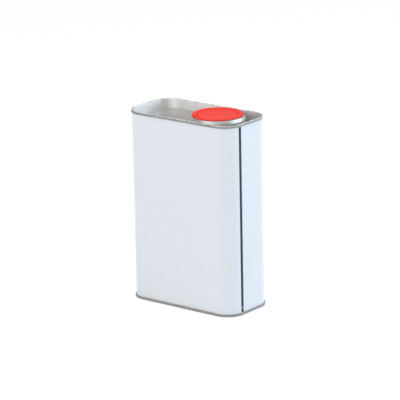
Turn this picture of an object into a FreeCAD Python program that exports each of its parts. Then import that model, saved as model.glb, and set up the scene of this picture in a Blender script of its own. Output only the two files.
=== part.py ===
import FreeCAD, Part
import math
import operator
import os
from types import SimpleNamespace

import Sketcher

# Rectangular one-litre oil tin with a pull-up pouring spout, shown pushed down and closed.
# The origin is the middle of the base. +X is the tin's right, -Y its front and +Z is up, in millimetres.

SIZES = {
    # Tin body: one sheet bent round and joined at a side seam
    "tin_height": 176.0,
    "body_width": 117.6,
    "body_depth": 58.8,
    "corner_radius": 16.0,
    "wall_sheet": 0.26,
    "side_seam_width": 3.2,
    "side_seam_rise": 0.14,
    "side_seam_edge": 0.5,
    "side_seam_end_gap": 0.2,
    # Double seams that join the two ends to the body
    "end_sheet": 0.28,
    "seam_gap": 0.04,
    "seam_height": 2.6,
    "seam_crown": 0.6,
    "hook_gap": 0.1,
    "compound_depth": 0.3,
    # Countersunk ends
    "top_recess": 10.4,
    "base_recess": 4.2,
    "chuck_draft": 0.4,
    "gutter_radius": 1.8,
    "gutter_flat": 1.2,
    "step_radius": 1.6,
    "step_rise": 0.9,
    "panel_ledge": 2.0,
    # Neck drawn up from the top, with its rolled bead
    "neck_rise": 8.4,
    "neck_root": 1.2,
    "neck_ledge": 0.8,
    "bead_radius": 1.7,
    # Crimped ring that holds the spout on the bead, with its room to the recess's front, back and right walls
    "ring_sheet": 0.25,
    "ring_lip": 1.3,
    "ring_room": 3.43,
    "ring_end_room": 8.63,
    # Pull-up spout, nested
    "seat_gap": 0.02,
    "flange_thickness": 1.1,
    "flange_gap": 0.3,
    "flange_round": 0.8,
    "flange_skirt": 2.6,
    "web_thickness": 0.9,
    "spout_foot_room": 3.8,
    "spout_foot_width": 3.2,
    "spout_foot_height": 2.0,
    "foot_fillet": 1.2,
    "spout_wall": 1.6,
    "spout_length": 19.0,
    "lip_drop": 0.8,
    "lip_bevel": 0.4,
    # Screw cap and its sealing disc
    "liner_thickness": 1.2,
    "liner_gap": 0.25,
    "thread_gap": 0.55,
    "cap_skirt_wall": 1.5,
    "cap_skirt_length": 13.0,
    "cap_disc_round": 0.4,
    "cap_clearance": 0.3,
    "cap_sink": 0.35,
    # Two half-ring pull bails, hinged on a pair of lugs of the cap
    "bail_inset": 1.69,
    "bail_gap": 0.35,
    "bail_width": 4.85,
    "bail_height": 1.45,
    "bail_clearance": 0.3,
    "bail_round": 0.5,
    "bail_inner_round": 0.3,
    "barrel_radius": 0.5,
    "hinge_offset": 1.9,
    "lug_gap": 0.15,
    "lug_inset": 0.6,
    "notch_start": 1.2,
    "notch_end": 1.9,
    "hinge_angle": 60.0,
    # One overrun for every cut
    "cut_overrun": 2.0,
}

DOC = FreeCAD.newDocument("oil_tin")
SHEET = DOC.addObject("Spreadsheet::Sheet", "sizes")
for row, (alias, number) in enumerate(SIZES.items(), start=1):
    SHEET.set(f"A{row}", alias)
    SHEET.set(f"B{row}", str(number))
    SHEET.setAlias(f"B{row}", alias)
DOC.recompute()


class Length:
    """A size: its number now, and the expression on the sheet that it follows."""

    def __init__(self, value, text):
        self.value = value
        self.text = text

    def __add__(self, other):
        return combine(self, "+", other)

    def __sub__(self, other):
        return combine(self, "-", other)

    def __mul__(self, other):
        return combine(self, "*", other)

    def __truediv__(self, other):
        return combine(self, "/", other)

    def __neg__(self):
        return ZERO - self


OPERATIONS = {"+": operator.add, "-": operator.sub, "*": operator.mul, "/": operator.truediv}


def as_length(item):
    """A plain number as a Length, and a Length as it is."""
    return item if isinstance(item, Length) else Length(float(item), str(item))


def combine(left, sign, right):
    """Two sizes joined by one sign, in number and in expression."""
    left, right = as_length(left), as_length(right)
    return Length(OPERATIONS[sign](left.value, right.value), f"({left.text} {sign} {right.text})")


def root(length):
    """Square root of a size."""
    return Length(math.sqrt(length.value), f"sqrt({length.text})")


ZERO = Length(0.0, "0")
S = SimpleNamespace(**{alias: Length(SHEET.get(alias), f"sizes.{alias}") for alias in SIZES})


# Sketches and features

PARTS = []


def new_body(label):
    """An empty sub-part that will be written under its label."""
    body = DOC.addObject("PartDesign::Body", label)
    body.Label = label
    PARTS.append(body)
    return body


def origin_item(body, role):
    """One of the body's own origin planes or axes."""
    return next(item for item in body.Origin.OriginFeatures if item.Role == role)


def attach(body, name, role, **shift):
    """A sketch on an origin plane of its body, shifted along the sketch's own x, y or z."""
    sketch = body.newObject("Sketcher::SketchObject", name)
    sketch.AttachmentSupport = (origin_item(body, role), [""])
    sketch.MapMode = "FlatFace"
    for axis, length in shift.items():
        sketch.setExpression(f"AttachmentOffset.Base.{axis}", length.text)
    return sketch


class Outline:
    """A closed run of lines and arcs in one sketch, with every point bound to the sheet."""

    START, END, CENTRE = 1, 2, 3

    def __init__(self, sketch, x, y, flip=None):
        self.sketch = sketch
        self.flip = flip
        self.steps = []
        self.first = (x, self.level(y))

    def level(self, y):
        """Height as drawn, or counted down from the flip height."""
        return y if self.flip is None else self.flip - y

    def line(self, x, y):
        """A straight stretch to a point."""
        self.steps.append((None, (x, self.level(y)), True))

    def arc(self, centre_x, centre_y, x, y, turn_left):
        """A round stretch about a centre to a point, turning left or right."""
        turn_left = turn_left if self.flip is None else not turn_left
        self.steps.append(((centre_x, self.level(centre_y)), (x, self.level(y)), turn_left))

    def close(self):
        """Draws the run back to its first point and binds it."""
        steps = self.steps + [(None, self.first, True)]
        last = len(steps) - 1
        here, pen = self.first, None
        shapes, rules = [], []

        def hold(axis, index, point, length):
            rules.append((Sketcher.Constraint(f"Distance{axis}", index, point, length.value), length))

        for index, (centre, there, turn_left) in enumerate(steps):
            tail, head = (self.START, self.END) if turn_left else (self.END, self.START)
            if centre is None:
                shapes.append(Part.LineSegment(flat(here), flat(there)))
            else:
                arms = (bearing(centre, here), bearing(centre, there))
                begin, finish = arms if turn_left else reversed(arms)
                finish += 2 * math.pi if finish <= begin else 0
                reach = (flat(here) - flat(centre)).Length
                circle = Part.Circle(flat(centre), FreeCAD.Vector(0, 0, 1), reach)
                shapes.append(Part.ArcOfCircle(circle, begin, finish))
            if pen is None:
                first_tail = tail
                hold("X", index, tail, here[0])
                hold("Y", index, tail, here[1])
            else:
                rules.append((Sketcher.Constraint("Coincident", index - 1, pen, index, tail), None))
            if index == last:
                rules.append((Sketcher.Constraint("Coincident", index, head, 0, first_tail), None))
            elif centre is None:
                hold("X", index, head, there[0])
                hold("Y", index, head, there[1])
            else:
                hold("X", index, self.CENTRE, centre[0])
                hold("Y", index, self.CENTRE, centre[1])
                slope = bearing(centre, there)
                steep = abs(math.sin(slope)) > abs(math.cos(slope))
                hold("X" if steep else "Y", index, head, there[0] if steep else there[1])
            here, pen = there, head
        self.sketch.addGeometry(shapes, False)
        places = self.sketch.addConstraint([rule for rule, _ in rules])
        for place, (_, length) in zip(places, rules):
            if length is not None:
                self.sketch.setExpression(f"Constraints[{place}]", length.text)
        return self.sketch


def flat(point):
    """A sketch point as a vector."""
    return FreeCAD.Vector(point[0].value, point[1].value, 0)


def bearing(centre, point):
    """Angle of a point seen from a centre."""
    arm = flat(point) - flat(centre)
    return math.atan2(arm.y, arm.x)


def rounded_outline(body, name, half_x, half_y, radius, **shift):
    """A rectangle with round corners, begun in the middle of its right side."""
    run = Outline(attach(body, name, "XY_Plane", **shift), half_x, ZERO)
    flat_x = half_x - radius
    flat_y = half_y - radius
    run.line(half_x, flat_y)
    run.arc(flat_x, flat_y, flat_x, half_y, True)
    run.line(-flat_x, half_y)
    run.arc(-flat_x, flat_y, -half_x, flat_y, True)
    run.line(-half_x, -flat_y)
    run.arc(-flat_x, -flat_y, -flat_x, -half_y, True)
    run.line(flat_x, -half_y)
    run.arc(flat_x, -flat_y, half_x, -flat_y, True)
    return run.close()


def circle_outline(body, name, radius, **shift):
    """A circle about the sketch's own origin."""
    sketch = attach(body, name, "XY_Plane", **shift)
    axis = FreeCAD.Vector(0, 0, 1)
    sketch.addGeometry(Part.Circle(FreeCAD.Vector(), axis, radius.value), False)
    sketch.addConstraint(Sketcher.Constraint("Coincident", 0, Outline.CENTRE, -1, Outline.START))
    place = sketch.addConstraint(Sketcher.Constraint("Radius", 0, radius.value))
    sketch.setExpression(f"Constraints[{place}]", radius.text)
    return sketch


def extrude(body, kind, sketch, length, **settings):
    """A pad or a pocket of a sketch."""
    feature = body.newObject(f"PartDesign::{kind}", f"{sketch.Name}_{kind.lower()}")
    feature.Profile = sketch
    for key, value in settings.items():
        setattr(feature, key, value)
    feature.setExpression("Length", length.text)
    return feature


def turn(body, kind, sketch):
    """A full revolution or groove of a sketch about its own upright axis."""
    feature = body.newObject(f"PartDesign::{kind}", f"{sketch.Name}_{kind.lower()}")
    feature.Profile = sketch
    feature.ReferenceAxis = (sketch, ["V_Axis"])
    return feature


def sweep_round(body, profile):
    """A section carried round the outer outline of the tin's wall."""
    path = rounded_outline(body, f"{body.Name}_path", half_width, half_depth, S.corner_radius)
    feature = body.newObject("PartDesign::AdditivePipe", f"{body.Name}_sweep")
    feature.Profile = profile
    feature.Spine = (path, [f"Edge{index + 1}" for index in range(path.GeometryCount)])
    return feature


def on_spout(body, turned=None):
    """Puts a sub-part on the spout's axis, turned about it where an angle is given."""
    body.setExpression("Placement.Base.x", spout_offset.text)
    if turned is not None:
        body.Placement.Rotation = FreeCAD.Rotation(FreeCAD.Vector(0, 0, 1), turned.value)
        body.setExpression("Placement.Rotation.Angle", turned.text)


# Layers of the double seam, counted outwards from the tin's axis

half_width = S.body_width / 2
half_depth = S.body_depth / 2
wall_in = half_width - S.wall_sheet
chuck_out = wall_in - S.seam_gap
chuck_in = chuck_out - S.end_sheet
cover_hook_in = half_width + S.seam_gap
cover_hook_out = cover_hook_in + S.end_sheet
body_hook_in = cover_hook_out + S.seam_gap
body_hook_out = body_hook_in + S.wall_sheet
seam_wall_in = body_hook_out + S.seam_gap
seam_face = seam_wall_in + S.end_sheet

body_bend_x = (half_width + body_hook_in) / 2
body_bend_radius = body_hook_out - body_bend_x
body_bend_z = S.tin_height - S.end_sheet - S.compound_depth - body_bend_radius
end_fold_x = (cover_hook_out + seam_wall_in) / 2
end_fold_z = S.tin_height - S.seam_height + seam_face - end_fold_x
body_hook_tip = end_fold_z + S.hook_gap
cover_hook_tip = body_bend_z - S.hook_gap
crown_z = S.tin_height - S.seam_crown
crown_in_x = chuck_in + S.seam_crown
crown_out_x = seam_face - S.seam_crown


def body_wall():
    """The sheet wall, flanged out and folded down into a hook at both ends."""
    body = new_body("body_wall")
    low_bend_z = S.tin_height - body_bend_z
    low_hook_tip = S.tin_height - body_hook_tip
    run = Outline(attach(body, "wall_section", "XZ_Plane"), body_hook_in, body_hook_tip)
    run.line(body_hook_in, body_bend_z)
    run.arc(body_bend_x, body_bend_z, half_width, body_bend_z, True)
    run.line(half_width, low_bend_z)
    run.arc(body_bend_x, low_bend_z, body_hook_in, low_bend_z, True)
    run.line(body_hook_in, low_hook_tip)
    run.line(body_hook_out, low_hook_tip)
    run.line(body_hook_out, low_bend_z)
    run.arc(body_bend_x, low_bend_z, wall_in, low_bend_z, False)
    run.line(wall_in, body_bend_z)
    run.arc(body_bend_x, body_bend_z, body_hook_out, body_bend_z, False)
    run.line(body_hook_out, body_hook_tip)
    sweep_round(body, run.close())


def side_seam():
    """The lapped edge of the wall's sheet, a bare strip on the right side next to the front corner."""
    body = new_body("side_seam")
    near = S.corner_radius - half_depth
    far = near + S.side_seam_width
    face = half_width + S.side_seam_rise
    low = S.seam_height + S.side_seam_end_gap
    run = Outline(attach(body, "seam_strip", "XY_Plane", z=low), half_width, near)
    run.line(face, near + S.side_seam_edge)
    run.line(face, far - S.side_seam_edge)
    run.line(half_width, far)
    extrude(body, "Pad", run.close(), S.tin_height - low * 2)


def pressed_end(label, recess, flip=None):
    """A seamed end: cover hook, seam wall, chuck wall, gutter, and panel stepped back towards the rim.

    Returns the body and the height of the panel's outer face, counted as the top's is.
    """
    body = new_body(label)
    gutter_z = S.tin_height - recess
    panel_z = gutter_z + S.step_rise
    chuck_foot = chuck_in - S.chuck_draft
    gutter_x = chuck_foot - S.gutter_radius
    gutter_arc_z = gutter_z + S.gutter_radius
    step_x = gutter_x - S.gutter_flat
    step_half_run = root(S.step_radius * S.step_rise - S.step_rise * S.step_rise / 4)
    step_half_rise = S.step_rise / 2
    step_low_z = gutter_z + S.step_radius
    step_high_z = panel_z - S.step_radius
    panel_x = step_x - step_half_run * 2
    ledge_x = panel_x - S.panel_ledge
    under_share = S.end_sheet / S.step_radius
    under_x = step_x - step_half_run - step_half_run * under_share
    under_z = gutter_z + step_half_rise - (S.step_radius - step_half_rise) * under_share

    section = attach(body, f"{label}_section", "XZ_Plane")
    run = Outline(section, cover_hook_in, cover_hook_tip, flip)
    run.line(cover_hook_in, end_fold_z)
    run.arc(end_fold_x, end_fold_z, seam_face, end_fold_z, True)
    run.line(seam_face, crown_z)
    run.arc(crown_out_x, crown_z, crown_out_x, S.tin_height, True)
    run.line(crown_in_x, S.tin_height)
    run.arc(crown_in_x, crown_z, chuck_in, crown_z, True)
    run.line(chuck_foot, gutter_arc_z)
    run.arc(gutter_x, gutter_arc_z, gutter_x, gutter_z, False)
    run.line(step_x, gutter_z)
    run.arc(step_x, step_low_z, step_x - step_half_run, gutter_z + step_half_rise, False)
    run.arc(panel_x, step_high_z, panel_x, panel_z, True)
    run.line(ledge_x, panel_z)
    run.line(ledge_x, panel_z - S.end_sheet)
    run.line(panel_x, panel_z - S.end_sheet)
    run.arc(panel_x, step_high_z, under_x, under_z, False)
    run.arc(step_x, step_low_z, step_x, gutter_z - S.end_sheet, True)
    run.line(gutter_x, gutter_z - S.end_sheet)
    run.arc(gutter_x, gutter_arc_z, chuck_foot + S.end_sheet, gutter_arc_z, True)
    run.line(chuck_out, crown_z)
    run.arc(crown_in_x, crown_z, crown_in_x, S.tin_height - S.end_sheet, False)
    run.line(crown_out_x, S.tin_height - S.end_sheet)
    run.arc(crown_out_x, crown_z, seam_wall_in, crown_z, False)
    run.line(seam_wall_in, end_fold_z)
    run.arc(end_fold_x, end_fold_z, cover_hook_out, end_fold_z, False)
    run.line(cover_hook_out, cover_hook_tip)
    sweep_round(body, run.close())

    plate_inset = half_width - ledge_x - S.panel_ledge / 2
    plate_z = panel_z - S.end_sheet if flip is None else flip - panel_z
    plate = rounded_outline(
        body,
        f"{label}_plate",
        half_width - plate_inset,
        half_depth - plate_inset,
        S.corner_radius - plate_inset,
        z=plate_z,
    )
    extrude(body, "Pad", plate, S.end_sheet)
    return body, panel_z


# The closure, counted inwards from the recess's walls to the mouth

chuck_inset = S.wall_sheet + S.seam_gap + S.end_sheet + S.chuck_draft
ring_out = half_depth - chuck_inset - S.ring_room
spout_offset = half_width - chuck_inset - S.ring_end_room - ring_out
bead_x = ring_out - S.ring_sheet - S.seat_gap - S.flange_thickness - S.seat_gap - S.bead_radius
neck_radius = bead_x - S.bead_radius
web_top_out = neck_radius - S.flange_gap
web_top_in = web_top_out - S.web_thickness
spout_foot_radius = web_top_in - S.spout_foot_room
web_foot_in = spout_foot_radius - S.web_thickness
spout_out = spout_foot_radius - S.spout_foot_width
mouth_radius = spout_out - S.spout_wall
bail_out = ring_out - S.bail_inset
bail_in = bail_out - S.bail_width
cap_disc_radius = bail_in - S.bail_gap
cap_skirt_in = spout_out + S.thread_gap
cap_skirt_out = cap_skirt_in + S.cap_skirt_wall

# Heights of the closure, stacked up from the panel

bead_top = S.tin_height - S.top_recess + S.step_rise + S.neck_rise
bead_z = bead_top - S.bead_radius
flange_low = bead_top + S.seat_gap
flange_high = flange_low + S.flange_thickness
ring_low = flange_high + S.seat_gap
ring_high = ring_low + S.ring_sheet
bail_low = ring_high + S.bail_clearance
bail_high = bail_low + S.bail_height
cap_high = bail_high - S.cap_sink
cap_low = ring_high + S.cap_clearance
lip_z = flange_high - S.lip_drop
liner_low = lip_z + S.seat_gap
ceiling_z = liner_low + S.liner_thickness + S.seat_gap
web_high = flange_low - S.flange_skirt
foot_low = lip_z - S.spout_length
web_low = foot_low + S.spout_foot_height
barrel_z = bail_low + S.barrel_radius
lug_half = S.hinge_offset - S.barrel_radius - S.lug_gap


def top_end():
    """The top, with a round neck drawn up from its panel and rolled outwards into a bead."""
    body, panel_z = pressed_end("top_end", S.top_recess)
    neck_out = neck_radius + S.end_sheet
    root_x = neck_out + S.neck_root
    root_z = panel_z + S.neck_root
    ledge_x = root_x + S.neck_ledge
    hole = circle_outline(
        body, "neck_hole", root_x + S.neck_ledge / 2, x=spout_offset, z=panel_z + S.cut_overrun
    )
    extrude(body, "Pocket", hole, S.cut_overrun * 2)

    run = Outline(attach(body, "neck_section", "XZ_Plane", x=spout_offset), ledge_x, panel_z)
    run.line(root_x, panel_z)
    run.arc(root_x, root_z, neck_out, root_z, False)
    run.line(neck_out, bead_z)
    run.arc(bead_x, bead_z, bead_x, bead_z - S.bead_radius + S.end_sheet, False)
    run.line(bead_x, bead_z - S.bead_radius)
    run.arc(bead_x, bead_z, neck_radius, bead_z, True)
    run.line(neck_radius, root_z)
    run.arc(root_x, root_z, root_x, panel_z - S.end_sheet, True)
    run.line(ledge_x, panel_z - S.end_sheet)
    turn(body, "Revolution", run.close())


def seam_compound(label, flip=None):
    """The sealing compound between the body's bend and the crown of the seam."""
    body = new_body(label)
    half_run = crown_out_x - body_bend_x
    reach = body_bend_radius + S.seam_gap
    low_z = body_bend_z + root(reach * reach - half_run * half_run)
    high_z = S.tin_height - S.end_sheet - S.seam_gap
    run = Outline(attach(body, f"{label}_section", "XZ_Plane"), body_bend_x - half_run, low_z, flip)
    run.arc(body_bend_x, body_bend_z, body_bend_x + half_run, low_z, False)
    run.line(body_bend_x + half_run, high_z)
    run.line(body_bend_x - half_run, high_z)
    sweep_round(body, run.close())


def crimp_ring():
    """The sheet ring, a lip on the collar that is rolled round it and under the bead to clamp the two."""
    body = new_body("crimp_ring")
    lip_x = bead_x - S.ring_lip
    curl_low = bead_z - ring_low + bead_z
    run = Outline(attach(body, "ring_section", "XZ_Plane"), lip_x, ring_low)
    run.line(bead_x, ring_low)
    run.arc(bead_x, bead_z, bead_x, curl_low, False)
    run.line(bead_x, curl_low - S.ring_sheet)
    run.arc(bead_x, bead_z, bead_x, ring_high, True)
    run.line(lip_x, ring_high)
    turn(body, "Revolution", run.close())
    on_spout(body)


def spout_flange():
    """The spout's fixed collar: a flange that grips the bead as its gasket, and a skirt inside the neck."""
    body = new_body("spout_flange")
    grip = S.bead_radius + S.seat_gap
    hold = grip + S.flange_thickness
    round_x = web_top_in + S.flange_round
    round_z = flange_high - S.flange_round
    run = Outline(attach(body, "flange_section", "XZ_Plane"), web_top_out, web_high)
    run.line(web_top_out, bead_z)
    run.line(bead_x - grip, bead_z)
    run.arc(bead_x, bead_z, bead_x, bead_z - grip, False)
    run.line(bead_x, bead_z - hold)
    run.arc(bead_x, bead_z, bead_x, flange_high, True)
    run.line(round_x, flange_high)
    run.arc(round_x, round_z, web_top_in, round_z, True)
    run.line(web_top_in, web_high)
    turn(body, "Revolution", run.close())
    on_spout(body)


def spout_web():
    """The thin flexible wall that folds down inside the neck and turns inside out when pulled."""
    body = new_body("spout_web")
    run = Outline(attach(body, "web_section", "XZ_Plane"), web_top_out, web_high)
    run.line(web_top_in, web_high)
    run.line(web_foot_in, web_low)
    run.line(spout_foot_radius, web_low)
    turn(body, "Revolution", run.close())
    on_spout(body)


def spout_neck():
    """The pouring tube, on a foot that the flexible wall carries."""
    body = new_body("spout_neck")
    fillet_x = spout_out + S.foot_fillet
    fillet_z = web_low + S.foot_fillet
    run = Outline(attach(body, "spout_section", "XZ_Plane"), mouth_radius, foot_low)
    run.line(spout_foot_radius, foot_low)
    run.line(spout_foot_radius, web_low)
    run.line(fillet_x, web_low)
    run.arc(fillet_x, fillet_z, spout_out, fillet_z, False)
    run.line(spout_out, lip_z - S.lip_bevel)
    run.line(spout_out - S.lip_bevel, lip_z)
    run.line(mouth_radius, lip_z)
    turn(body, "Revolution", run.close())
    on_spout(body)


def cap_liner():
    """The soft sealing disc between the spout's lip and the cap."""
    body = new_body("cap_liner")
    disc = circle_outline(body, "liner_disc", cap_skirt_in - S.liner_gap, z=liner_low)
    extrude(body, "Pad", disc, S.liner_thickness)
    on_spout(body)


def cap():
    """The screw cap: a skirt round the spout, a disc on top and a bar whose ends are the hinge lugs."""
    body = new_body("cap")
    round_x = cap_disc_radius - S.cap_disc_round
    round_z = cap_high - S.cap_disc_round
    skirt_low = ceiling_z - S.cap_skirt_length
    run = Outline(attach(body, "cap_section", "XZ_Plane"), ZERO, ceiling_z)
    run.line(cap_skirt_in, ceiling_z)
    run.line(cap_skirt_in, skirt_low)
    run.line(cap_skirt_out, skirt_low)
    run.line(cap_skirt_out, cap_low)
    run.line(cap_disc_radius, cap_low)
    run.line(cap_disc_radius, round_z)
    run.arc(round_x, round_z, round_x, cap_high, True)
    run.line(ZERO, cap_high)
    turn(body, "Revolution", run.close())

    lug_reach = bail_out - S.lug_inset
    bar = Outline(attach(body, "lug_bar", "XY_Plane", z=cap_low), lug_reach, lug_half)
    bar.line(-lug_reach, lug_half)
    bar.line(-lug_reach, -lug_half)
    bar.line(lug_reach, -lug_half)
    extrude(body, "Pad", bar.close(), cap_high - cap_low)
    on_spout(body, S.hinge_angle)


def bail(label, turned):
    """Half of the pull ring: full height all round, lower at the rounded ends that hinge on the lugs."""
    body = new_body(label)
    far = bail_out + S.cut_overrun
    side = Outline(attach(body, f"{label}_side", "YZ_Plane"), far, bail_low)
    side.line(S.hinge_offset, bail_low)
    side.arc(S.hinge_offset, barrel_z, S.hinge_offset, barrel_z + S.barrel_radius, False)
    side.line(S.hinge_offset + S.notch_start, barrel_z + S.barrel_radius)
    side.line(S.hinge_offset + S.notch_end, bail_high)
    side.line(far, bail_high)
    extrude(body, "Pad", side.close(), far * 2, Midplane=True)

    low = bail_low - S.cut_overrun
    high = bail_high + S.cut_overrun
    beyond = far * 2
    rim_z = bail_high - S.bail_round
    rim = Outline(attach(body, f"{label}_rim", "XZ_Plane"), bail_out, low)
    rim.line(beyond, low)
    rim.line(beyond, high)
    rim.line(bail_out - S.bail_round, high)
    rim.line(bail_out - S.bail_round, bail_high)
    rim.arc(bail_out - S.bail_round, rim_z, bail_out, rim_z, False)
    turn(body, "Groove", rim.close())

    edge_z = bail_high - S.bail_inner_round
    edge_x = bail_in + S.bail_inner_round
    middle = Outline(attach(body, f"{label}_middle", "XZ_Plane"), ZERO, low)
    middle.line(bail_in, low)
    middle.line(bail_in, edge_z)
    middle.arc(edge_x, edge_z, edge_x, bail_high, False)
    middle.line(edge_x, high)
    middle.line(ZERO, high)
    turn(body, "Groove", middle.close())
    on_spout(body, turned)


def build():
    """Every sub-part of the tin, from the body to the closure."""
    half_turn = 180
    body_wall()
    side_seam()
    top_end()
    pressed_end("bottom_end", S.base_recess, S.tin_height)
    seam_compound("top_seam_compound")
    seam_compound("bottom_seam_compound", S.tin_height)
    crimp_ring()
    spout_flange()
    spout_web()
    spout_neck()
    cap_liner()
    cap()
    bail("bail_rear", S.hinge_angle)
    bail("bail_front", S.hinge_angle + half_turn)
    DOC.recompute()


def check():
    """Stops the run where a feature failed or a sub-part isn't one sound solid."""
    for item in DOC.Objects:
        if "Invalid" in item.State or "Error" in item.State:
            raise RuntimeError(f"{item.Name} failed: {item.State}")
    for part in PARTS:
        if part.Shape.isNull() or not part.Shape.isValid() or len(part.Shape.Solids) != 1:
            raise RuntimeError(f"{part.Label} is not one sound solid")


def write():
    """One file for each sub-part, named by its label."""
    os.makedirs("parts", exist_ok=True)
    for part in PARTS:
        part.Shape.exportStep(f"parts/{part.Label}.step")


build()
check()
write()
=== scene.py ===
"""Looks of a rectangular one-litre oil tin with a pull-up spout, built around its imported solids."""

import logging
import math
from dataclasses import dataclass
from enum import Enum
from typing import Any, Callable, Optional, Sequence, Union

import bmesh
import bpy
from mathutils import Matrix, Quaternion, Vector


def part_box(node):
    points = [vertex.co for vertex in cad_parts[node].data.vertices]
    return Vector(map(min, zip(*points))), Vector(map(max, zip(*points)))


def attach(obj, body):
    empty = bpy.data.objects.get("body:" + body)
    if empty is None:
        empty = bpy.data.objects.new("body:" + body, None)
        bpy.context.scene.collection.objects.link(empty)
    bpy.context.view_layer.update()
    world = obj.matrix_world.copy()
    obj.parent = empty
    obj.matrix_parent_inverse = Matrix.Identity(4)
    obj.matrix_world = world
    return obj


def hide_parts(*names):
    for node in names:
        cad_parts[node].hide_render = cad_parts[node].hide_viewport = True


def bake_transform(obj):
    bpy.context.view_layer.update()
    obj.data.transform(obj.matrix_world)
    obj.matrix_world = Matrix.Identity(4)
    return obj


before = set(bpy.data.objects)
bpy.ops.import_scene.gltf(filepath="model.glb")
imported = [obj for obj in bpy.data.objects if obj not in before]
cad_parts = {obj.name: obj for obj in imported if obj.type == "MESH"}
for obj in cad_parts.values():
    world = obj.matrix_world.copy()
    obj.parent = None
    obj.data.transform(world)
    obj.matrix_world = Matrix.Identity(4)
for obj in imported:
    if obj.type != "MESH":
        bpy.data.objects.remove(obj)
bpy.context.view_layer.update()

BOXES = {node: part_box(node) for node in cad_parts}
LOG = logging.getLogger("oil_tin")
MM = 0.001
MERGE = 1e-7
WHITE = (1.0, 1.0, 1.0, 1.0)
EVEN = (1.0, 1.0, 1.0)
# Share of a bend's full radius that keeps a sliver of straight sheet between two bends.
SNUG = 0.999
# Largest angle between two faces that are shaded as one.
SMOOTH_ANGLE = 40.0
# Angle between the tin's width and the hinge line across the cap.
HINGE_ANGLE = 60.0
# Share of its full size to which a thread runs out at its ends.
THREAD_STUB = 0.02
# Profile of a bevel that rounds an edge evenly.
ROUND_PROFILE = 0.5
# Attribute of the sheet: how far the seaming rolls dulled it and how much painted shade its seams' outer
# faces get.
ROLLED_AND_SHADED = "rolled_and_shaded"
# Sockets of a Mix node for colours, and of a Random Value node for numbers.
MIX_SHARE, MIX_LOWER, MIX_UPPER, MIX_RESULT = 0, 6, 7, 2
RANDOM_LEAST, RANDOM_MOST, RANDOM_SEED, RANDOM_RESULT = 2, 3, 8, 1

Colour = tuple[float, float, float]
Point = tuple[float, float]
Corner = tuple[float, float, float]
Key = Union[str, int]
Sockets = dict[Key, Any]


class Body(Enum):
    """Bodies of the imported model, which the pieces ride on."""

    TIN = "tin"
    SPOUT = "spout"
    SEAL = "seal"
    SCREW_CAP = "screw_cap"
    REAR_BAIL = "rear_bail"
    FRONT_BAIL = "front_bail"


class Slot(Enum):
    """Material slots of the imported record."""

    WHITE_LACQUER = "white_lacquer"
    TINPLATE = "tinplate"
    BARE_SEAM = "bare_seam"
    RING_METAL = "ring_metal"
    RED_PLASTIC = "red_plastic"
    SPOUT_PLASTIC = "spout_plastic"
    LINER_FOAM = "liner_foam"
    SEAM_COMPOUND = "seam_compound"


class Kind(Enum):
    """Sorts of input that the recipe of a shape takes."""

    SHAPE = "NodeSocketGeometry"
    NUMBER = "NodeSocketFloat"
    COUNT = "NodeSocketInt"
    PLACE = "NodeSocketVector"
    FINISH = "NodeSocketMaterial"


class Face(Enum):
    """Faces of a round wall, as the sign of the way out of it."""

    OUTER = 1
    INNER = -1


def arithmetic(operation: str, turned: bool = False) -> Callable[["Wire", "Number"], "Wire"]:
    """Makes an operator for wires.

    Args:
        operation: Operation of the Math node that it adds.
        turned: Whether the wire stands on the right, after a number.

    Returns:
        The method behind the operator.
    """

    def operator(wire: "Wire", other: "Number") -> "Wire":
        """Adds the Math node."""
        return wire.graph.maths(operation, *((other, wire) if turned else (wire, other)))

    return operator


class Wire:
    """One output of a node tree, with arithmetic that adds Math nodes."""

    def __init__(self, graph: "Graph", socket: bpy.types.NodeSocket) -> None:
        """Keeps the tree and the socket."""
        self.graph = graph
        self.socket = socket

    __add__, __radd__ = arithmetic("ADD"), arithmetic("ADD", True)
    __sub__, __rsub__ = arithmetic("SUBTRACT"), arithmetic("SUBTRACT", True)
    __mul__, __rmul__ = arithmetic("MULTIPLY"), arithmetic("MULTIPLY", True)
    __truediv__, __rtruediv__ = arithmetic("DIVIDE"), arithmetic("DIVIDE", True)


Number = Union[float, Wire]


class Graph:
    """A node tree under construction: a finish, a light or the recipe of a shape."""

    def __init__(self, tree: bpy.types.NodeTree) -> None:
        """Starts from an empty tree."""
        self.tree = tree
        tree.nodes.clear()

    def node(
        self,
        kind: str,
        settings: Optional[dict[str, Any]] = None,
        sockets: Optional[Sockets] = None,
        out: Key = 0,
    ) -> Optional[Wire]:
        """Adds one node.

        Args:
            kind: Type of the node.
            settings: Properties of the node, which are set first.
            sockets: Values or wires of its inputs, by name or number.
            out: Name or number of the output that is handed back.

        Returns:
            The chosen output, or None for a node that has none.
        """
        made = self.tree.nodes.new(kind)
        for name, value in (settings or {}).items():
            setattr(made, name, value)
        for key, value in (sockets or {}).items():
            if isinstance(value, Wire):
                self.tree.links.new(value.socket, made.inputs[key])
            else:
                made.inputs[key].default_value = value
        return Wire(self, made.outputs[out]) if made.outputs else None

    def maths(self, operation: str, left: Number, right: Number) -> Wire:
        """One Math node on two values."""
        return self.node("ShaderNodeMath", {"operation": operation}, {0: left, 1: right})

    def fade(self, value: Number, low: float, high: float) -> Wire:
        """A smooth rise from 0 at the low value to 1 at the high one."""
        span = {"Value": value, "From Min": low, "From Max": high}
        return self.node("ShaderNodeMapRange", {"interpolation_type": "SMOOTHSTEP"}, span)


@dataclass(frozen=True)
class Mottle:
    """Random mottling: mottles in a metre, stretch along each axis, finer layers and its spots' edges."""

    scale: float
    stretch: Corner = EVEN
    detail: float = 2.0
    low: float = 0.0
    high: float = 1.0


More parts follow.
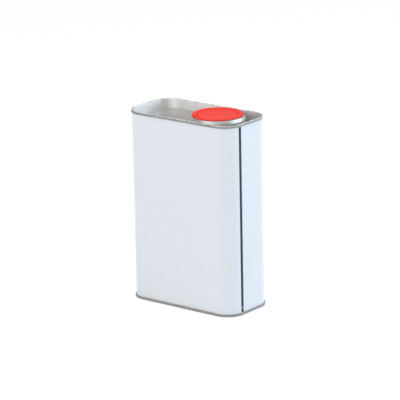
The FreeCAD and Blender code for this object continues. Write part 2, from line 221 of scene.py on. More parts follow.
class Surface(Graph):
    """The nodes of a finish, which reads its piece's own coordinates in metres."""

    def place(self, stretch: Corner = EVEN) -> Wire:
        """The point on the piece, stretched along the three axes."""
        spot = self.node("ShaderNodeTexCoord", out="Object")
        return self.node("ShaderNodeVectorMath", {"operation": "MULTIPLY"}, {0: spot, 1: stretch})

    def height(self) -> Wire:
        """The height of the point on the piece."""
        return self.node("ShaderNodeSeparateXYZ", {}, {0: self.place()}, "Z")

    def noise(self, mottle: Mottle) -> Wire:
        """A soft mottling between 0 and 1, about one half."""
        sockets = {"Vector": self.place(mottle.stretch), "Scale": mottle.scale, "Detail": mottle.detail}
        return self.node("ShaderNodeTexNoise", {}, sockets, "Fac")

    def spots(self, mottle: Mottle) -> Wire:
        """1 where a mottling is strong, 0 where it is weak."""
        return self.fade(self.noise(mottle), mottle.low, mottle.high)

    def swing(self, value: Wire, width: float) -> Wire:
        """A mottling about one half, made a swing about zero."""
        return (value - 0.5) * width

    def mix(self, share: Number, lower: Union[Colour, Wire], upper: Colour) -> Wire:
        """Lays a plain colour over another.

        Args:
            share: Share of the upper colour.
            lower: Colour below, plain or varied.
            upper: Plain colour on top.

        Returns:
            The mixed colour.
        """
        under = lower if isinstance(lower, Wire) else (*lower, 1.0)
        sockets = {MIX_SHARE: share, MIX_LOWER: under, MIX_UPPER: (*upper, 1.0)}
        return self.node("ShaderNodeMix", {"data_type": "RGBA"}, sockets, MIX_RESULT)

    def relief(self, height: Wire, depth: float, under: Optional[Wire] = None) -> Wire:
        """Fine relief on the surface.

        Args:
            height: Height between 0 and 1.
            depth: Depth of the relief in metres.
            under: Relief that this one is laid on.

        Returns:
            The changed normal.
        """
        sockets: Sockets = {"Height": height, "Distance": depth, "Strength": 1.0}
        if under is not None:
            sockets["Normal"] = under
        return self.node("ShaderNodeBump", {}, sockets)


@dataclass(frozen=True)
class Finish:
    """A surface finish that makes its own material and names a slot of the record."""

    label: str
    slot: Slot

    def material(self) -> bpy.types.Material:
        """Makes the material at its first use.

        Returns:
            The material of the finish.
        """
        made = bpy.data.materials.get(self.label)
        if made is None:
            made = bpy.data.materials.new(self.label)
            made.use_nodes = True
            graph = Surface(made.node_tree)
            shader = graph.node("ShaderNodeBsdfPrincipled", {}, self.surface(graph))
            graph.node("ShaderNodeOutputMaterial", {}, {"Surface": shader})
        return made

    def surface(self, graph: Surface) -> Sockets:
        """Inputs of the shader, which each finish gives."""
        raise NotImplementedError


@dataclass(frozen=True)
class Lacquer(Finish):
    """White roller-coated lacquer, baked on the sheet before it was bent."""

    cool: Colour = (0.775, 0.815, 0.865)
    warm: Colour = (0.800, 0.832, 0.872)
    grime: Colour = (0.60, 0.62, 0.63)
    roughness: float = 0.30
    drift_rough: float = 0.10
    streak_rough: float = 0.10
    coat: float = 0.25
    coat_roughness: float = 0.12
    foot: float = 3.0 * MM
    head: float = 173.0 * MM
    grime_reach: float = 4.0 * MM
    grime_share: float = 0.15
    speck_share: float = 0.10
    drift: Mottle = Mottle(16.0)
    streaks: Mottle = Mottle(130.0, (1.0, 1.0, 0.12), 4.0, 0.60, 0.78)
    specks: Mottle = Mottle(900.0, low=0.72, high=0.80)
    smudges: Mottle = Mottle(420.0)
    peel: Mottle = Mottle(1100.0)
    waves: Mottle = Mottle(28.0)
    peel_depth: float = 0.004 * MM
    wave_depth: float = 0.05 * MM

    def surface(self, graph: Surface) -> Sockets:
        """Slow drift of tone, faint rubbed streaks, a little grime along the seams and orange peel.

        Args:
            graph: Nodes of the material.

        Returns:
            The inputs of its shader.
        """
        drift = graph.noise(self.drift)
        height = graph.height()
        near_foot = 1.0 - graph.fade(height, self.foot, self.foot + self.grime_reach)
        near_head = graph.fade(height, self.head - self.grime_reach, self.head)
        edge = (near_foot + near_head) * graph.noise(self.smudges) * self.grime_share
        dirt = edge + graph.spots(self.specks) * self.speck_share
        rubbed = graph.spots(self.streaks) * self.streak_rough
        peel = graph.relief(graph.noise(self.peel), self.peel_depth)
        return {
            "Base Color": graph.mix(dirt, graph.mix(drift, self.cool, self.warm), self.grime),
            "Roughness": self.roughness + graph.swing(drift, self.drift_rough) + rubbed,
            "Coat Weight": self.coat,
            "Coat Roughness": self.coat_roughness,
            "Normal": graph.relief(graph.noise(self.waves), self.wave_depth, peel),
        }


@dataclass(frozen=True)
class Tinplate(Finish):
    """Tin on steel sheet, with rolling lines along the tin's length and another tone on its upper part."""

    dark: Colour = (0.43, 0.42, 0.405)
    light: Colour = (0.55, 0.54, 0.525)
    upper: Colour = (0.86, 0.845, 0.83)
    worn_and_shaded: Colour = (0.36, 0.355, 0.345)
    rolled_shade_tone: Colour = (0.33, 0.325, 0.32)
    upper_foot: float = 166.7 * MM
    upper_reach: float = 1.0 * MM
    rim: float = 175.6 * MM
    rim_reach: float = 0.4 * MM
    line_share: float = 0.3
    rolled_shade_share: float = 0.9
    worn_and_shaded_share: float = 0.9
    patchiness: float = 0.4
    roughness: float = 0.52
    blotch_rough: float = 0.14
    line_rough: float = 0.10
    scratch_rough: float = 0.12
    rolled_rough: float = 0.14
    blotches: Mottle = Mottle(70.0, detail=4.0)
    lines: Mottle = Mottle(2600.0, (0.02, 1.0, 1.0), 3.0)
    scratches: Mottle = Mottle(700.0, (0.06, 1.0, 1.0), 4.0, 0.66, 0.72)
    rubs: Mottle = Mottle(300.0, low=0.35, high=0.65)
    waves: Mottle = Mottle(42.0)
    grain_depth: float = 0.0012 * MM
    wave_depth: float = 0.05 * MM

    def surface(self, graph: Surface) -> Sockets:
        """Blotched tin, walls burnished by the seaming chuck and lit by painted light, seams dulled by the
        rolls with painted shade, and a rubbed crown with painted shade.

        Args:
            graph: Nodes of the material.

        Returns:
            The inputs of its shader.
        """
        blotch, lines = graph.noise(self.blotches), graph.noise(self.lines)
        patchy = graph.swing(blotch, self.patchiness)
        height = graph.height()
        # Above the panel the upper tone takes over: on the top it is burnish and painted light that makes the
        # chuck walls and neck brighter than the panel; on the ring it is the roll's own tone.
        upper = graph.fade(height, self.upper_foot, self.upper_foot + self.upper_reach)
        # Rubbed spots on the crown, darkened as wear and as painted shade that takes down the crown's
        # highlight.
        rubbed = graph.fade(height, self.rim - self.rim_reach, self.rim) * graph.spots(self.rubs)
        rolled_and_shaded = graph.node("ShaderNodeAttribute", {"attribute_name": ROLLED_AND_SHADED}, out="Fac")
        tone = graph.mix(blotch * (1.0 - self.line_share) + lines * self.line_share, self.dark, self.light)
        tone = graph.mix(upper * (1.0 + patchy), tone, self.upper)
        # Painted shade on the seams' outer faces, where the seaming rolls also dulled the sheet.
        tone = graph.mix(rolled_and_shaded * (self.rolled_shade_share + patchy), tone, self.rolled_shade_tone)
        rough = self.roughness + graph.swing(blotch, self.blotch_rough) + graph.swing(lines, self.line_rough)
        scratched = graph.spots(self.scratches) * self.scratch_rough
        grain = graph.relief(lines, self.grain_depth)
        return {
            "Base Color": graph.mix(rubbed * (1.0 - rolled_and_shaded) * self.worn_and_shaded_share, tone, self.worn_and_shaded),
            "Metallic": 1.0,
            "Roughness": rough + scratched + rolled_and_shaded * self.rolled_rough,
            "Normal": graph.relief(graph.noise(self.waves), self.wave_depth, grain),
        }


@dataclass(frozen=True)
class BareSeam(Finish):
    """Bare sheet beside the weld, darkened by its heat and by a painted dark reflection."""

    dark: Colour = (0.016, 0.019, 0.027)
    blue: Colour = (0.036, 0.042, 0.058)
    pale_band: Colour = (0.42, 0.44, 0.47)
    roughness: float = 0.50
    fine_rough: float = 0.2
    metal: float = 0.25
    gloss: float = 0.3
    pale_band_low: float = 6.2 * MM
    pale_band_high: float = 7.4 * MM
    pale_band_edge: float = 0.3 * MM
    pale_band_share: float = 0.8
    drift: Mottle = Mottle(60.0, (1.0, 6.0, 1.0), 3.0)
    grain: Mottle = Mottle(2400.0, (1.0, 0.3, 1.0))
    grain_depth: float = 0.006 * MM

    def surface(self, graph: Surface) -> Sockets:
        """Heat tint and a painted dark reflection that drift along the strip, with one paler band near the
        foot.

        Args:
            graph: Nodes of the material.

        Returns:
            The inputs of its shader.
        """
        grain = graph.noise(self.grain)
        height = graph.height()
        above = graph.fade(height, self.pale_band_low - self.pale_band_edge, self.pale_band_low + self.pale_band_edge)
        past = graph.fade(height, self.pale_band_high - self.pale_band_edge, self.pale_band_high + self.pale_band_edge)
        # The near-black tint is heat tint together with a painted dark reflection of the surroundings.
        heat_tint_and_reflection = graph.mix(graph.noise(self.drift), self.dark, self.blue)
        return {
            "Base Color": graph.mix(above * (1.0 - past) * self.pale_band_share, heat_tint_and_reflection, self.pale_band),
            "Metallic": self.metal,
            "Roughness": self.roughness + graph.swing(grain, self.fine_rough),
            "Specular IOR Level": self.gloss,
            "Normal": graph.relief(grain, self.grain_depth),
        }


@dataclass(frozen=True)
class MouldedPlastic(Finish):
    """Injection-moulded polyethylene with a fine spark-eroded face."""

    deep: Colour
    light: Colour
    roughness: float = 0.50
    gloss: float = 0.15
    softness: float = 0.0
    soft_reach: float = 2.0 * MM
    flow_share: float = 0.85
    scuff_share: float = 0.3
    flow_rough: float = 0.10
    scuff_rough: float = 0.10
    flow: Mottle = Mottle(75.0, detail=3.0)
    scuffs: Mottle = Mottle(520.0, (1.0, 0.25, 1.0), 4.0, 0.60, 0.75)
    texture: Mottle = Mottle(3200.0)
    sinks: Mottle = Mottle(110.0)
    texture_depth: float = 0.006 * MM
    sink_depth: float = 0.03 * MM

    def surface(self, graph: Surface) -> Sockets:
        """Flow clouds, scuffed spots and the mould's fine texture over faint sink marks.

        Args:
            graph: Nodes of the material.

        Returns:
            The inputs of its shader.
        """
        flow, scuff = graph.noise(self.flow), graph.spots(self.scuffs)
        texture = graph.relief(graph.noise(self.texture), self.texture_depth)
        pale = flow * self.flow_share + scuff * self.scuff_share
        return {
            "Base Color": graph.mix(pale, self.deep, self.light),
            "Roughness": self.roughness + graph.swing(flow, self.flow_rough) + scuff * self.scuff_rough,
            "Specular IOR Level": self.gloss,
            "Subsurface Weight": self.softness,
            "Subsurface Scale": self.soft_reach,
            "Normal": graph.relief(graph.noise(self.sinks), self.sink_depth, texture),
        }


@dataclass(frozen=True)
class Foam(Finish):
    """Closed-cell foam of the sealing disc."""

    hollow: Colour = (0.74, 0.73, 0.69)
    skin: Colour = (0.90, 0.89, 0.86)
    roughness: float = 0.75
    cell_rough: float = 0.2
    cell_share: float = 1.2
    cells: float = 1500.0
    cell_depth: float = 0.05 * MM

    def surface(self, graph: Surface) -> Sockets:
        """Small cells that show through a matt skin.

        Args:
            graph: Nodes of the material.

        Returns:
            The inputs of its shader.
        """
        sockets = {"Vector": graph.place(), "Scale": self.cells}
        cells = graph.node("ShaderNodeTexVoronoi", {}, sockets, "Distance")
        return {
            "Base Color": graph.mix(cells * self.cell_share, self.skin, self.hollow),
            "Roughness": self.roughness + graph.swing(cells, self.cell_rough),
            "Normal": graph.relief(1.0 - cells, self.cell_depth),
        }


@dataclass(frozen=True)
class Compound(Finish):
    """Rubbery sealing compound inside the seams."""

    dark: Colour = (0.20, 0.21, 0.20)
    light: Colour = (0.30, 0.31, 0.29)
    roughness: float = 0.6
    grain_rough: float = 0.2
    grain: Mottle = Mottle(1800.0, detail=3.0)
    grain_depth: float = 0.01 * MM

    def surface(self, graph: Surface) -> Sockets:
        """Grainy grey-green rubber.

        Args:
            graph: Nodes of the material.

        Returns:
            The inputs of its shader.
        """
        grain = graph.noise(self.grain)
        return {
            "Base Color": graph.mix(grain, self.dark, self.light),
            "Roughness": self.roughness + grain * self.grain_rough,
            "Normal": graph.relief(grain, self.grain_depth),
        }


LACQUER = Lacquer("baked_lacquer", Slot.WHITE_LACQUER)
TINPLATE = Tinplate("rolled_tinplate", Slot.TINPLATE)
RING_TIN = Tinplate(
    "ring_tinplate",
    Slot.RING_METAL,
    dark=(0.88, 0.87, 0.86),
    light=(0.92, 0.91, 0.90),
    upper=(0.56, 0.55, 0.54),
    worn_and_shaded=(0.54, 0.535, 0.52),
    upper_foot=171.6 * MM,
    roughness=0.42,
    wave_depth=0.04 * MM,
)
BARE_SEAM = BareSeam("bare_weld_margin", Slot.BARE_SEAM)
RED_PLASTIC = MouldedPlastic(
    "red_polyethylene",
    Slot.RED_PLASTIC,
    deep=(0.98, 0.050, 0.034),
    light=(0.98, 0.066, 0.046),
    softness=0.1,
)
SPOUT_PLASTIC = MouldedPlastic(
    "natural_polyethylene",
    Slot.SPOUT_PLASTIC,
    deep=(0.80, 0.80, 0.76),
    light=(0.88, 0.88, 0.85),
    roughness=0.40,
    gloss=0.45,
    softness=0.25,
)
FOAM = Foam("closed_cell_foam", Slot.LINER_FOAM)
COMPOUND = Compound("rubber_compound", Slot.SEAM_COMPOUND)


def spoke(angle: float) -> Vector:
    """The level way at an angle from the tin's right."""
    return Vector((math.cos(angle), math.sin(angle), 0))


def clamped(share: float) -> float:
    """A share kept between 0 and 1."""
    return min(max(share, 0.0), 1.0)


def span(node: str) -> Corner:
    """Radius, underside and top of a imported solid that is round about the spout's axis."""
    low, high = BOXES[node]
    return (high.x - low.x) / 2, low.z, high.z


def rounded(corners: Sequence[Corner], steps: int = 8) -> list[Point]:
    """A run of straight stretches with round corners.

    Args:
        corners: Across, height and corner radius of each turn. The two ends have no radius.
        steps: Straight pieces in each round corner.

    Returns:
        The points along the run.
    """
    run = [Vector(corners[0][:2])]
    for before, here, after in zip(corners, corners[1:], corners[2:]):
        tip, radius = Vector(here[:2]), here[2]
        if not radius:
            run.append(tip)
            continue
        arm_in = (Vector(before[:2]) - tip).normalized()
        arm_out = (Vector(after[:2]) - tip).normalized()
        half = arm_in.angle(arm_out) / 2
        centre = tip + (arm_in + arm_out).normalized() * (radius / math.sin(half))
        start = tip + arm_in * (radius / math.tan(half)) - centre
        end = tip + arm_out * (radius / math.tan(half)) - centre
        sweep = math.pi - 2 * half
        for step in range(steps + 1):
            share = sweep * step / steps
            run.append(centre + (start * math.sin(sweep - share) + end * math.sin(share)) / math.sin(sweep))
    run.append(Vector(corners[-1][:2]))
    return [tuple(point) for point in run]


def thicken(run: Sequence[Point], thickness: float) -> list[Point]:
    """The closed section of a bent sheet.

    Args:
        run: One face of the sheet, which lies to the left of the way the run goes.
        thickness: Thickness of the sheet.

    Returns:
        The run and, on the way back, the sheet's other face.
    """
    points = [Vector(point) for point in run]
    ways = [(after - before).normalized() for before, after in zip(points, points[1:])]
    other = []
    for point, way_in, way_out in zip(points, ways[:1] + ways, ways + ways[-1:]):
        left = Vector((-way_in.y - way_out.y, way_in.x + way_out.x)).normalized()
        spread = left.dot(Vector((-way_in.y, way_in.x)))
        other.append(tuple(point + left * (thickness / spread)))
    return list(run) + other[::-1]


def closed(shape: bmesh.types.BMesh, name: str) -> bpy.types.Mesh:
    """Merges a closed shape's doubles, turns its faces outwards and makes it a mesh.

    Args:
        shape: The shape, which is used up.
        name: Name of the mesh.

    Returns:
        The finished mesh.
    """
    bmesh.ops.remove_doubles(shape, verts=shape.verts, dist=MERGE)
    if shape.calc_volume(signed=True) < 0:
        bmesh.ops.reverse_faces(shape, faces=shape.faces)
    mesh = bpy.data.meshes.new(name)
    shape.to_mesh(mesh)
    shape.free()
    return mesh


def loft(
    rings: Sequence[Sequence[Vector]],
    name: str,
    wrap: bool = False,
    caps: bool = False,
    rolled_and_shaded: Sequence[float] = (),
) -> bpy.types.Mesh:
    """A closed shape through rings of equally many points.

    Args:
        rings: The rings in order. A ring may shrink to one point, as a pole.
        name: Name of the mesh.
        wrap: Whether the last ring joins the first.
        caps: Whether the first and last ring are closed by a face each.
        rolled_and_shaded: How far the seaming rolls dulled each ring and how much painted shade it gets, from
            0 to 1.

    Returns:
        The mesh of the shape.
    """
    shape = bmesh.new()
    layer = shape.verts.layers.float.new(ROLLED_AND_SHADED)
    rows = [[shape.verts.new(point) for point in ring] for ring in rings]
    for row, share in zip(rows, rolled_and_shaded):
        for vert in row:
            vert[layer] = share
    pairs = list(zip(rows, rows[1:])) + ([(rows[-1], rows[0])] if wrap else [])
    for low, high in pairs:
        for index in range(len(low)):
            shape.faces.new((low[index - 1], low[index], high[index], high[index - 1]))
    if caps:
        shape.faces.new(rows[0][::-1])
        shape.faces.new(rows[-1])
    return closed(shape, name)


def join(meshes: Sequence[bpy.types.Mesh], name: str) -> bpy.types.Mesh:
    """Puts several meshes in one.

    Args:
        meshes: The meshes.
        name: Name of the whole.

    Returns:
        The mesh of them all.
    """
    shape = bmesh.new()
    for mesh in meshes:
        shape.from_mesh(mesh)
    whole = bpy.data.meshes.new(name)
    shape.to_mesh(whole)
    shape.free()
    return whole


def outline(section: Sequence[Point], origin: float, name: str) -> bpy.types.Mesh:
    """A closed section as edges, laid so that a recipe stands it upright on its path.

    Args:
        section: Across and height of its points.
        origin: Distance across at which the path runs.
        name: Name of the mesh.

    Returns:
        A mesh of edges alone.
    """
    mesh = bpy.data.meshes.new(name)
    count = len(section)
    points = [(across - origin, -high, 0.0) for across, high in section]
    mesh.from_pydata(points, [(index, (index + 1) % count) for index in range(count)], [])
    return mesh


def linked(name: str, data: bpy.types.ID) -> bpy.types.Object:
    """Puts a new object in the scene.

    Args:
        name: Name of the object.
        data: Mesh, camera or lamp that it shows.

    Returns:
        The object.
    """
    made = bpy.data.objects.new(name, data)
    bpy.context.scene.collection.objects.link(made)
    return made


class Recipe(Graph):
    """A Geometry Nodes tree with named inputs that makes one sort of shape."""

    def __init__(self, name: str, **inputs: Kind) -> None:
        """Starts a tree that takes a finish and these inputs.

        Args:
            name: Name of the tree.
            **inputs: Sort of each named input, with _ for a space in its name.
        """
        super().__init__(bpy.data.node_groups.new(name, "GeometryNodeTree"))
        face = self.tree.interface
        self.sockets = {
            label: face.new_socket(label.replace("_", " "), in_out="INPUT", socket_type=kind.value)
            for label, kind in {**inputs, "Finish": Kind.FINISH}.items()
        }
        face.new_socket("Shape", in_out="OUTPUT", socket_type=Kind.SHAPE.value)

    def given(self, label: str) -> Wire:
        """The value of a named input."""
        return self.node("NodeGroupInput", out=label)

    def sweep(self, path: Wire, options: Optional[Sockets] = None) -> Wire:
        """Carries the given section along a path, upright.

        Args:
            path: Curve that it follows.
            options: Other inputs of the sweep.

        Returns:
            The swept faces.
        """
        upright = self.node("GeometryNodeSetCurveNormal", {"mode": "Z_UP"}, {"Curve": path})
        section = self.node("GeometryNodeMeshToCurve", {}, {"Mesh": self.given("Section")})
        sockets = {"Curve": upright, "Profile Curve": section, **(options or {})}
        return self.node("GeometryNodeCurveToMesh", {}, sockets)

    def moved(self, shape: Wire, place: str) -> Wire:
        """A shape set down at a given place."""
        return self.node("GeometryNodeTransform", {}, {"Geometry": shape, "Translation": self.given(place)})

    def close(self, shape: Wire) -> "Recipe":
        """Ends the tree in real faces that carry the finish.

        Args:
            shape: What the recipe has made.

        Returns:
            The finished recipe.
        """
        real = self.node("GeometryNodeRealizeInstances", {}, {"Geometry": shape})
        dressed = {"Geometry": real, "Material": self.given("Finish")}
        self.node("NodeGroupOutput", {}, {0: self.node("GeometryNodeSetMaterial", {}, dressed)})
        return self

    def make(self, seed: bpy.types.Mesh, finish: Finish, **values: Any) -> bpy.types.Mesh:
        """Runs the recipe once.

        Args:
            seed: Mesh that the recipe starts from.
            finish: Finish that it sets.
            **values: Values of the other inputs, with _ for a space in a name.

        Returns:
            The result as a plain mesh with its faces outwards.
        """
        holder = linked(seed.name, seed)
        modifier = holder.modifiers.new(self.tree.name, "NODES")
        modifier.node_group = self.tree
        for label, value in {**values, "Finish": finish.material()}.items():
            modifier[self.sockets[label].identifier] = value
        graph = bpy.context.evaluated_depsgraph_get()
        made = bpy.data.meshes.new_from_object(holder.evaluated_get(graph), depsgraph=graph)
        holder.modifiers.clear()
        bpy.data.objects.remove(holder)
        shape = bmesh.new()
        shape.from_mesh(made)
        return closed(shape, seed.name)


def carried_round_tin() -> Recipe:
    """A section carried round the tin's rectangle with its round corners.

    Returns:
        The recipe.
    """
    recipe = Recipe(
        "carried_round_tin",
        Section=Kind.SHAPE,
        Width=Kind.NUMBER,
        Depth=Kind.NUMBER,
        Corner_Radius=Kind.NUMBER,
        Corner_Pieces=Kind.COUNT,
    )
    plan = {"Width": recipe.given("Width"), "Height": recipe.given("Depth")}
    sharp = recipe.node("GeometryNodeCurvePrimitiveQuadrilateral", {"mode": "RECTANGLE"}, plan)
    corner = {"Curve": sharp, "Radius": recipe.given("Corner Radius"), "Count": recipe.given("Corner Pieces")}
    return recipe.close(recipe.sweep(recipe.node("GeometryNodeFilletCurve", {"mode": "POLY"}, corner)))


def turned_on_axis() -> Recipe:
    """A section carried round a circle, closed where it meets the axis.

    Returns:
        The recipe.
    """
    recipe = Recipe(
        "turned_on_axis", Section=Kind.SHAPE, Radius=Kind.NUMBER, Pieces=Kind.COUNT, Centre=Kind.PLACE
    )
    ring = {"Resolution": recipe.given("Pieces"), "Radius": recipe.given("Radius")}
    turned = recipe.sweep(recipe.node("GeometryNodeCurvePrimitiveCircle", {"mode": "RADIUS"}, ring))
    merged = recipe.node("GeometryNodeMergeByDistance", {}, {"Geometry": turned, "Distance": MERGE})
    return recipe.close(recipe.moved(merged, "Centre"))


def wound_thread() -> Recipe:
    """A thread's section wound up a helix, running out at both ends.

    Returns:
        The recipe.
    """
    recipe = Recipe(
        "wound_thread",
        Section=Kind.SHAPE,
        Radius=Kind.NUMBER,
        Rise=Kind.NUMBER,
        Turns=Kind.NUMBER,
        Run_Out=Kind.NUMBER,
        Pieces=Kind.COUNT,
        Foot=Kind.PLACE,
    )
    helix = {
        "Resolution": recipe.given("Pieces"),
        "Rotations": recipe.given("Turns"),
        "Start Radius": recipe.given("Radius"),
        "End Radius": recipe.given("Radius"),
        "Height": recipe.given("Rise"),
    }
    along = recipe.node("GeometryNodeSplineParameter", out="Factor")
    nearest_end = recipe.maths("MINIMUM", along, 1.0 - along)
    swell = recipe.maths("MINIMUM", nearest_end / recipe.given("Run Out") + THREAD_STUB, 1.0)
    path = recipe.node("GeometryNodeCurveSpiral", {}, helix)
    return recipe.close(recipe.moved(recipe.sweep(path, {"Scale": swell, "Fill Caps": True}), "Foot"))


def strung_in_line() -> Recipe:
    """One shape repeated up a line, each copy a little larger or smaller.

    Returns:
        The recipe.
    """
    recipe = Recipe(
        "strung_in_line",
        Shape=Kind.SHAPE,
        Count=Kind.COUNT,
        Start=Kind.PLACE,
        Step=Kind.PLACE,
        Least=Kind.NUMBER,
        Seed=Kind.COUNT,
    )
    sockets = {"Count": "Count", "Start Location": "Start", "Offset": "Step"}
    line = {socket: recipe.given(label) for socket, label in sockets.items()}
    spots = recipe.node("GeometryNodeMeshLine", {"mode": "OFFSET"}, line)
    draw = {RANDOM_LEAST: recipe.given("Least"), RANDOM_MOST: 1.0, RANDOM_SEED: recipe.given("Seed")}
    size = recipe.node("FunctionNodeRandomValue", {"data_type": "FLOAT"}, draw, RANDOM_RESULT)
    scale = recipe.node("ShaderNodeCombineXYZ", {}, {0: size, 1: size, 2: 1.0})
    copies = {"Points": spots, "Instance": recipe.given("Shape"), "Scale": scale}
    return recipe.close(recipe.node("GeometryNodeInstanceOnPoints", {}, copies))


def put(name: str, mesh: bpy.types.Mesh, finish: Finish, body: Optional[Body], node: str) -> bpy.types.Object:
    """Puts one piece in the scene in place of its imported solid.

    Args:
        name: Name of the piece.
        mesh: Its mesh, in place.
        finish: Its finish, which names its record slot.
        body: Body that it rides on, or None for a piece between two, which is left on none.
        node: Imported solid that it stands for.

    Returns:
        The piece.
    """
    mesh.name = name
    mesh.materials.clear()
    mesh.materials.append(finish.material())
    mesh.shade_smooth()
    mesh.set_sharp_from_angle(angle=math.radians(SMOOTH_ANGLE))
    piece = linked(name, mesh)
    if body is not None:
        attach(piece, body.value)
    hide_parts(node)
    LOG.info("%s: %d faces for %s", name, len(mesh.polygons), node)
    return piece


@dataclass(frozen=True)
class Plan:
    """The tin's plan: a rectangle with round corners, seen from above."""

    half_width: float
    half_depth: float
    corner_radius: float = 16.0 * MM
    corner_pieces: int = 16
    side_piece: float = 1.6 * MM

    def ring(self, across: float, height: float) -> list[Vector]:
        """The plan grown or shrunk evenly.

        Args:
            across: Distance of its right side from the axis.
            height: Height of the ring.

        Returns:
            The points of the ring, counter-clockwise, equally many for every ring.
        """
        middle_x = self.half_width - self.corner_radius
        middle_y = self.half_depth - self.corner_radius
        radius = self.corner_radius - (self.half_width - across)
        points: list[Vector] = []
        for quarter, (side_x, side_y) in enumerate(((1, 1), (-1, 1), (-1, -1), (1, -1))):
            centre = Vector((side_x * middle_x, side_y * middle_y, height))
            for piece in range(self.corner_pieces + 1):
                angle = math.pi / 2 * (quarter + piece / self.corner_pieces)
                points.append(centre + spoke(angle) * radius)
            run = 2 * (middle_y if quarter % 2 else middle_x)
            pieces = round(run / self.side_piece)
            way = -spoke(math.pi / 2 * quarter)
            points += [points[-1] + way * (run * piece / pieces) for piece in range(1, pieces)]
        return points

    def sag(self, along: float) -> float:
        """How far the round corner falls back from the right side at a place along it."""
        past = max(abs(along) - (self.half_depth - self.corner_radius), 0.0)
        return self.corner_radius - math.sqrt(self.corner_radius**2 - past**2)


def shrunk(ring: Sequence[Vector], share: float) -> list[Vector]:
    """A level ring drawn in towards the tin's axis."""
    return [Vector((point.x * share, point.y * share, point.z)) for point in ring]


def tin_plan() -> Plan:
    """Reads the plan of the wall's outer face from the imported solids.

    Returns:
        The plan.
    """
    half_width = BOXES["side_seam"][0].x
    seam_face = BOXES["top_end"][1]
    return Plan(half_width, seam_face.y - (seam_face.x - half_width))


@dataclass
class TinBody:
    """The sheet wall and the weld that closes it."""

    plan: Plan
    height: float
    sheet: float = 0.26 * MM
    hook_gap: float = 0.36 * MM
    hook_length: float = 1.0 * MM
    bend_drop: float = 0.76 * MM
    corner_pieces: int = 24
    weld_rise: float = 0.12 * MM
    weld_half: float = 0.45 * MM
    weld_shift: float = 1.4 * MM
    ridge_rise: float = 0.084 * MM
    ridge_half: float = 0.225 * MM
    margin_rise: float = 0.03 * MM
    margin_edge: float = 0.15 * MM
    margin_extra: float = 0.15 * MM
    sunk: float = 0.08 * MM
    nugget_pitch: float = 0.8 * MM
    nugget_half: float = 0.36 * MM
    nugget_reach: float = 0.496 * MM
    nugget_sides: int = 8
    nugget_rows: int = 5
    nugget_least: float = 0.8
    nugget_seed: int = 4

    def build(self) -> None:
        """Makes the wall and the weld."""
        put("lacquered_wall", self.wall(), LACQUER, Body.TIN, "body_wall")
        put("welded_side_seam", self.weld(), BARE_SEAM, Body.TIN, "side_seam")

    def wall(self) -> bpy.types.Mesh:
        """The wall, with its edges folded out and back into the seams.

        Returns:
            Its mesh.
        """
        face = self.plan.half_width
        hook = face + self.hook_gap
        bend = self.hook_gap / 2 * SNUG
        top, foot = self.height - self.bend_drop, self.bend_drop
        run = rounded([
            (hook, foot + self.hook_length, 0.0),
            (hook, foot, bend),
            (face, foot, bend),
            (face, top, bend),
            (hook, top, bend),
            (hook, top - self.hook_length, 0.0),
        ])
        return carried_round_tin().make(
            outline(thicken(run, self.sheet), face, "wall_section"),
            LACQUER,
            Width=2 * self.plan.half_width,
            Depth=2 * self.plan.half_depth,
            Corner_Radius=self.plan.corner_radius,
            Corner_Pieces=self.corner_pieces,
        )

    def weld(self) -> bpy.types.Mesh:
        """The bare strip beside the weld, with the row of overlapping weld spots on its ridge.

        Returns:
            The mesh of both.
        """
        low, high = BOXES["side_seam"]
        face, middle = low.x, (low.y + high.y) / 2 - self.weld_shift
        half = (high.y - low.y) / 2 + self.margin_extra
        side = [
            (-self.sunk, half),
            (self.margin_rise, half - self.margin_edge),
            (self.margin_rise, self.weld_half),
            (self.ridge_rise, self.ridge_half),
        ]
        strip = [(rise, middle - across) for rise, across in side]
        strip += [(rise, middle + across) for rise, across in side[::-1]]
        rings = [
            [Vector((face + rise - self.plan.sag(along), along, z)) for rise, along in strip]
            for z in (low.z, high.z)
        ]
        spots = strung_in_line().make(
            self.nugget(),
            BARE_SEAM,
            Count=round((high.z - low.z) / self.nugget_pitch) - 1,
            Start=(face, middle, low.z + self.nugget_pitch),
            Step=(0.0, 0.0, self.nugget_pitch),
            Least=self.nugget_least,
            Seed=self.nugget_seed,
        )
        return join([loft(rings, "weld_strip", caps=True), spots], "welded_side_seam")

    def nugget(self) -> bpy.types.Mesh:
        """One flat weld spot, longer than the pitch so that each overlaps the next.

        Returns:
            Its mesh, about the origin.
        """
        shape = bmesh.new()
        pieces = {"u_segments": self.nugget_sides, "v_segments": self.nugget_rows}
        bmesh.ops.create_uvsphere(shape, radius=1.0, **pieces)
        bmesh.ops.scale(shape, vec=(self.weld_rise, self.nugget_half, self.nugget_reach), verts=shape.verts)
        return closed(shape, "weld_spot")


